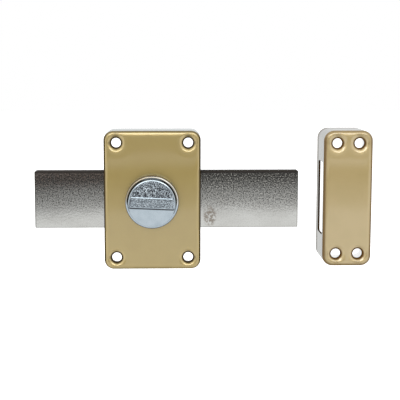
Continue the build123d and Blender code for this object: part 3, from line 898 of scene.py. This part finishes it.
goldLook = {
    "gold": rgb(0.55, 0.42, 0.158),
    "worn": rgb(0.505, 0.382, 0.14),
    "wornStep": (0.35, 0.75),
    "wornShare": 0.5,
    "bare": rgb(0.52, 0.555, 0.56),
    "bareDull": rgb(0.46, 0.49, 0.49),
    # colour of the painted shade at the edges, round the holes and at the open back
    "edge": rgb(0.03, 0.02, 0.008),
    "haze": (14, 3),
    "grain": (0.45, 2),
    "streak": (0.6, 2, (6, 1, 1)),
    "bareCloud": (3, 4),
    "coatRoughness": 0.05,
    "coatIor": 1.9,
    "roughness": (0.18, 0.06, 0.04),  # of the bare plate, and what haze and grain add
    "satin": 0.17,  # what the lacquer adds to it
    "grainShares": (0.6, 0.4),  # of grain and streaks in the bump
    "grainDepth": 0.003,
}
strikeLook = {
    **goldLook,
    # painted light: the strike's lacquer is a lighter copy of the case's and its bare wall a darker one, for
    # how light falls on each
    "gold": rgb(0.62, 0.48, 0.226),
    "worn": rgb(0.565, 0.44, 0.198),
    "bare": rgb(0.48, 0.49, 0.475),
    "bareDull": rgb(0.42, 0.425, 0.41),
    # colour of the painted shade, as on the case
    "edge": rgb(0.075, 0.038, 0.01),
    "coatIor": 2.05,
    "satin": 0.25,
}


# Gold lacquer on bare plate. The shell's attributes say where it lies and where painted shade darkens it.
def goldLacquer(name, look):
    material, graph = newMaterial(name)
    coated = graph.attribute("goldCoat")
    haze = graph.noise(*look["haze"])
    grain = graph.noise(*look["grain"])
    streak = graph.noise(*look["streak"])
    gold = graph.mix(look["gold"], look["worn"], haze.step(*look["wornStep"]) * look["wornShare"])
    bare = graph.mix(look["bare"], look["bareDull"], graph.noise(*look["bareCloud"]))
    plain, hazy, grainy = look["roughness"]
    grainShare, streakShare = look["grainShares"]
    graph.finish(
        graph.mix(bare, gold, coated),
        plain + hazy * haze + grainy * grain + coated * look["satin"],
        graph.bump(grain * grainShare + streak * streakShare, look["grainDepth"]),
        others={"Coat Weight": coated, "Coat Roughness": look["coatRoughness"], "Coat IOR": look["coatIor"]},
        cover=(look["edge"], graph.attribute("coatEdge")),
    )
    return material


boltLook = {
    "plate": rgb(0.66, 0.665, 0.64),
    "dull": rgb(0.60, 0.60, 0.575),
    "dullStep": (0.35, 0.75),
    "coarse": (1.3, 3),
    "fine": (0.4, 2),
    "cloud": (11, 4, (1.6, 1, 1)),
    "grit": (0.8, 2),
    "ends": (-75.7, 94.2),
    "heights": (-18.5, 18.5),
    # the sawn dark edges: width, the part of it that is fully dark, and strength
    "edge": rgb(0.022, 0.019, 0.017),
    "edges": {
        "left": (0.8, 0.4, 1.0),
        "right": (0.8, 0.6, 0.4),
        "top": (1.7, 0.4, 1.0),
        "bottom": (0.9, 0.6, 0.3),
    },
    "edgeShare": 0.95,
    "edgeOverGrit": (0, 0.25),  # between these strengths the grit's colour gives way to the edge's
    # painted shade: brown left of the case and dark right of it, from the middle of the plate up
    "brown": rgb(0.20, 0.14, 0.11),
    "dark": rgb(0.19, 0.185, 0.165),
    "sideStep": (20, -20),
    "topShadeStep": (14, 0),
    "topShadeShares": (0.4, 0.5),
    # the grit on the front: dark pits and light grains, by the distance below the top
    "gritZone": (28, 19),
    "gritFront": (-9, -11),
    "gritPit": rgb(0.14, 0.135, 0.125),
    "pitStep": (0.5, 0.62),
    "pitShares": (0.1, 0.75),  # everywhere, and what the grit's zone adds
    "gritLight": rgb(0.42, 0.41, 0.37),
    "gritBrown": rgb(0.34, 0.24, 0.19),
    "lightStep": (0.48, 0.36),
    "brownStep": (18, 6),
    "gritShares": (0.35, 0.2),  # right and left of the case
    # an oily mark right of the case: middle and radii in x and z
    "stain": rgb(0.25, 0.17, 0.10),
    "stainPlace": (37.0, -11.0),
    "stainRadii": (4.4, 7.0),
    "stainStep": (0.1, 1.3),
    "stainPatches": (0.38, 0.6),
    "stainShare": 0.6,
    "roughness": (0.04, 0.03, 0.2),  # of the plate, and what clouds and the stain add
    "bumps": (0.008, 0.003),
}


# Bright plate with painted shade towards the top, brown at the left and dark at the right, grit, an oily mark
# and sawn dark edges.
def boltPlate(look):
    material, graph = newMaterial("boltPlate")
    x, y, z = [part * 1000 for part in graph.axes(graph.place())]
    coarse = graph.noise(*look["coarse"])
    fine = graph.noise(*look["fine"])
    cloud = graph.noise(*look["cloud"])
    grit = graph.noise(*look["grit"])
    leftEnd, rightEnd = look["ends"]
    bottom, top = look["heights"]
    toTop = top - z
    left = x.step(*look["sideStep"])

    # painted shade: the plate darkens towards the top
    colour = graph.mix(look["plate"], look["dull"], cloud.step(*look["dullStep"]))
    plainShare, coarseShare = look["topShadeShares"]
    topShade = toTop.step(*look["topShadeStep"]) * (plainShare + coarseShare * coarse)
    colour = graph.mix(colour, graph.mix(look["dark"], look["brown"], left), topShade)
    gritty = toTop.step(*look["gritZone"]) * y.step(*look["gritFront"])
    everywhere, inZone = look["pitShares"]
    pits = grit.step(*look["pitStep"]) * (everywhere + inZone * gritty)
    colour = graph.mix(colour, look["gritPit"], pits)

    # the stain fades with the square of the distance in its own radii, and is patchy
    (stainX, stainZ), (radiusX, radiusZ) = look["stainPlace"], look["stainRadii"]
    across, up = (x - stainX) / radiusX, (z - stainZ) / radiusZ
    stain = (1 - (across * across + up * up).step(*look["stainStep"])) * coarse.step(*look["stainPatches"])
    colour = graph.mix(colour, look["stain"], stain * look["stainShare"])

    # the dark edge is the strongest of four: share * step(distance to the side)
    rim = 0
    distances = {"left": x - leftEnd, "right": rightEnd - x, "top": toTop, "bottom": z - bottom}
    for side, (wide, full, share) in look["edges"].items():
        rim = (share * distances[side].step(wide, wide * full)).atLeast(rim)
    atRight, atLeft = look["gritShares"]
    light = grit.step(*look["lightStep"]) * gritty * (atRight + (atLeft - atRight) * left)
    speck = graph.mix(look["gritLight"], look["gritBrown"], left * toTop.step(*look["brownStep"]))
    cover = graph.mix(speck, look["edge"], rim.step(*look["edgeOverGrit"]))
    plain, cloudy, oily = look["roughness"]
    coarseBump, fineBump = look["bumps"]
    graph.finish(
        colour,
        plain + cloudy * cloud + stain * oily,
        graph.bump(coarse, coarseBump, over=graph.bump(fine, fineBump)),
        cover=(cover, (rim * look["edgeShare"]).atLeast(light)),
    )
    return material


knobLook = {
    "plate": rgb(0.53, 0.61, 0.67),
    "dull": rgb(0.46, 0.54, 0.60),
    "dullStep": (0.3, 0.8),
    "roughness": (0.07, 0.06),  # of the plate, and what clouds add
    "cloud": (5, 4),
    "fine": (0.35, 3),
    "grainDepth": 0.002,
    # the sand: dark pits and light grains
    "sand": (0.75, 1),
    "pit": rgb(0.07, 0.078, 0.09),
    "pitStep": (0.43, 0.575),
    "pitShare": 0.95,
    "light": rgb(0.62, 0.65, 0.68),
    "lightStep": (0.43, 0.33),
    "lightShare": 0.27,
    # painted reflection: the shoulder is coloured with the case's gold at the left and the pale room at the
    # right
    "shoulderLeft": rgb(0.50, 0.43, 0.31),
    "shoulderRight": rgb(0.86, 0.83, 0.74),
    "shoulderStep": (-0.012, 0.012),  # in metres
    # colour of the painted shade in the sunk ring and under the bar
    "paintedShade": rgb(0.015, 0.016, 0.018),
    # colour of the painted shadow round the knob
    "outline": rgb(0.07, 0.05, 0.022),
    "outlineShare": 0.85,
    "shadeOverSand": (0, 0.2),  # between these strengths the light grains' colour gives way to the painted shade's
}


# Bright plate with sand, with a painted reflection on the shoulder, and with painted shade and shadow where
# the knob's attributes say.
def knobPlate(look):
    material, graph = newMaterial("knobPlate")
    cloud = graph.noise(*look["cloud"])
    fine = graph.noise(*look["fine"])
    sand = graph.noise(*look["sand"])
    sandy = graph.attribute("sand")
    pits = sand.step(*look["pitStep"]) * sandy
    light = sand.step(*look["lightStep"]) * sandy * look["lightShare"]
    # painted shadow round the knob
    outline = graph.attribute("outline") * look["outlineShare"]
    # painted shade in the creases, together with the painted shadow
    shadeShare = graph.attribute("crease").atLeast(outline)

    colour = graph.mix(look["plate"], look["dull"], cloud.step(*look["dullStep"]))
    # painted reflection on the shoulder, gold at the left and pale at the right
    side = graph.axes(graph.place())[0].step(*look["shoulderStep"])
    shoulder = graph.mix(look["shoulderLeft"], look["shoulderRight"], side)
    colour = graph.mix(colour, shoulder, graph.attribute("shoulder"))
    colour = graph.mix(colour, look["pit"], pits * look["pitShare"])
    paintedShade = graph.mix(look["paintedShade"], look["outline"], outline)
    cover = graph.mix(look["light"], paintedShade, shadeShare.step(*look["shadeOverSand"]))
    plain, cloudy = look["roughness"]
    graph.finish(
        colour,
        plain + cloudy * cloud,
        graph.bump(fine, look["grainDepth"]),
        cover=(cover, shadeShare.atLeast(light)),
    )
    return material


# The plainer finishes: bright and dull tone, clouds, grain, bump depth, and roughness from and to.
plainLooks = {
    # painted light: the inner skin is near white, so that its shaded inside reads as bright as the backdrop
    # through the holes
    "innerPaintedPale": ((0.90, 0.90, 0.89), (0.82, 0.83, 0.82), (5, 4), (0.6, 2), 0.002, 0.14, 0.22),
    "cutEdge": ((0.014, 0.007, 0.003), (0.04, 0.022, 0.01), (2, 3), (0.25, 3, (1, 6, 1)), 0.01, 0.5, 0.7),
    "nylon": ((0.84, 0.83, 0.78), (0.76, 0.74, 0.68), (3, 3), (0.5, 2), 0.004, 0.42, 0.54),
    "zincPlate": ((0.62, 0.63, 0.62), (0.52, 0.53, 0.50), (6, 4), (0.5, 3), 0.006, 0.24, 0.42),
    "guideCasting": ((0.50, 0.51, 0.52), (0.38, 0.39, 0.40), (4, 4), (0.7, 3), 0.03, 0.42, 0.60),
    "turnedBrass": ((0.72, 0.55, 0.27), (0.60, 0.43, 0.18), (5, 4), (0.3, 3, (1, 0.4, 1)), 0.006, 0.20, 0.34),
    "springSteel": ((0.42, 0.42, 0.44), (0.30, 0.29, 0.29), (5, 4), (0.3, 3, (8, 1, 1)), 0.004, 0.25, 0.38),
    "blackOxide": ((0.09, 0.09, 0.10), (0.05, 0.05, 0.05), (2, 4), (0.3, 3), 0.005, 0.35, 0.50),
    "turnedSteel": ((0.53, 0.53, 0.54), (0.42, 0.42, 0.42), (4, 4), (0.3, 3, (1, 0.3, 1)), 0.006, 0.22, 0.36),
}
usualFinish = {
    "cloudStep": (0.3, 0.75),
    "shares": (0.6, 0.4),  # of clouds and grain in the roughness
    "metallic": 1.0,
    "gloss": 0.5,
}
# what three of them have instead
ownValues = {
    "innerPaintedPale": {"cloudStep": (0.35, 0.75), "shares": (1, 0)},
    "cutEdge": {"cloudStep": None, "shares": (0, 1), "metallic": 0.0, "gloss": 0.05},
    "nylon": {"cloudStep": None, "shares": (1, 0), "metallic": 0.0},
}


# Two tones in clouds, with a grain: roughness = low + (high - low) * shares of clouds and grain.
def plainFinish(name):
    bright, dull, clouds, grains, depth, low, high = plainLooks[name]
    look = {**usualFinish, **ownValues.get(name, {})}
    material, graph = newMaterial(name)
    cloud = graph.noise(*clouds)
    grain = graph.noise(*grains)
    tone = cloud.step(*look["cloudStep"]) if look["cloudStep"] else cloud
    cloudy, grainy = look["shares"]
    graph.finish(
        graph.mix(rgb(*bright), rgb(*dull), tone),
        low + (high - low) * (cloudy * cloud + grainy * grain),
        graph.bump(grain, depth),
        look["metallic"],
        {"Specular IOR Level": look["gloss"]},
    )
    return material


# Which finish each of the hidden solids takes.
nodeFinishes = {
    "nylon": ["thrust_washer"],
    "zincPlate": ["back_plate", "cover_posts", "back_screws", "guide_rivets", "leaf_rivet", "stop_block"],
    "guideCasting": ["upper_guide", "lower_guide"],
    "turnedBrass": ["front_bush", "rear_bush"],
    "springSteel": ["leaf_spring", "spring_washer"],
    "blackOxide": ["knob_grub_screw", "retaining_ring"],
    "turnedSteel": ["pinion_shaft"],
}


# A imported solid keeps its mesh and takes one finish.
def dressNode(name, material):
    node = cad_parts[name]
    for place in node.material_slots:
        place.material = material
    if not node.material_slots:
        node.data.materials.append(material)


setCamera(photoCamera)
setWorld(studio)
setFloor(studio)
setLamps(studio)
print("studio ready")

caseGold, strikeGold = goldLacquer("caseGold", goldLook), goldLacquer("strikeGold", strikeLook)
innerPale, sheared = plainFinish("innerPaintedPale"), plainFinish("cutEdge")
pressedShell("caseShell", caseShape, "case_cover", [caseGold, innerPale, sheared])
pressedShell("strikeShell", strikeShape, "strike_shell", [strikeGold, innerPale, sheared])
knobBody(knobShape, knobPlate(knobLook))
print("new pieces ready")

dressNode("bolt", boltPlate(boltLook))
for finishName, nodeNames in nodeFinishes.items():
    finish = plainFinish(finishName)
    for nodeName in nodeNames:
        dressNode(nodeName, finish)
print("finishes ready")

bpy.context.scene.view_settings.view_transform = "Standard"
